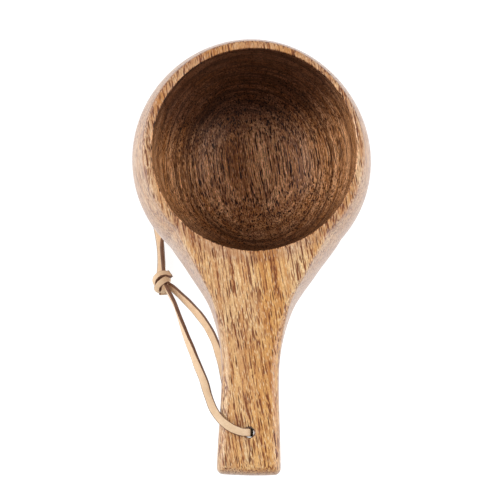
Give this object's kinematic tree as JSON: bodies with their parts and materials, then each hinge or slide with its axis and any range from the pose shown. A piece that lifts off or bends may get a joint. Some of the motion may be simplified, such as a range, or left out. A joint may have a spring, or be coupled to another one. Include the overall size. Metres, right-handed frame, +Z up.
{
  "type": "kuksa wooden cup",
  "caption": "Carved wooden drinking cup with a round deep bowl, a flared flat handle, a foot to stand on and a knotted leather lace through the handle.",
  "frame": {"origin": "centre of the flat foot, on the surface the cup stands on and on the bowl's axis", "axes": "+Z up along the bowl's axis, -Y along the handle to its tip, +X to the right when the cup is seen from the handle"},
  "size_m": [0.1, 0.181, 0.062],
  "materials": {
    "wood": "satin",
    "lace_leather": "matte"
  },
  "bodies": {
    "root": {"cup_body": "wood", "lace_hole_loop": "lace_leather", "lace_wrist_loop": "lace_leather", "lace_knot": "lace_leather", "lace_end_upper": "lace_leather", "lace_end_lower": "lace_leather"}
  },
  "joints": []
}
